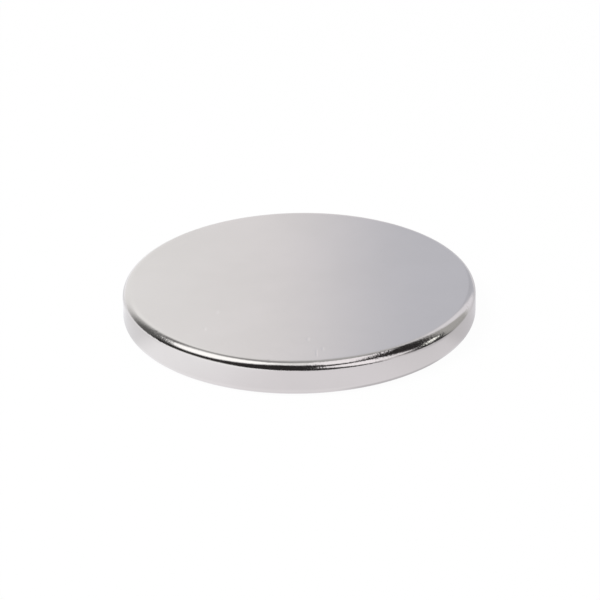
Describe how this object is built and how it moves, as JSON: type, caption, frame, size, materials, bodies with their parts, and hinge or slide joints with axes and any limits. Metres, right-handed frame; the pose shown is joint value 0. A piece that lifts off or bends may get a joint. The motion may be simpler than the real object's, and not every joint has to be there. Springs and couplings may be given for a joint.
{
  "type": "disc magnet",
  "caption": "Flat round disc magnet with rounded edges and bright nickel plating, for holding things to steel or setting into a round pocket.",
  "frame": {"origin": "centre of the lower pole face, which the disc lies on", "axes": "+Z along the disc's axis, from the lower pole face to the upper one; X and Y are any two directions across it, because the disc is round"},
  "size_m": [0.02, 0.02, 0.002],
  "materials": {
    "nickel_plating": "bright nickel plating with a faint haze on the faces and a fine tumbled grain on the rounded edges"
  },
  "bodies": {
    "root": {"magnet_disc": "nickel_plating"}
  },
  "joints": []
}
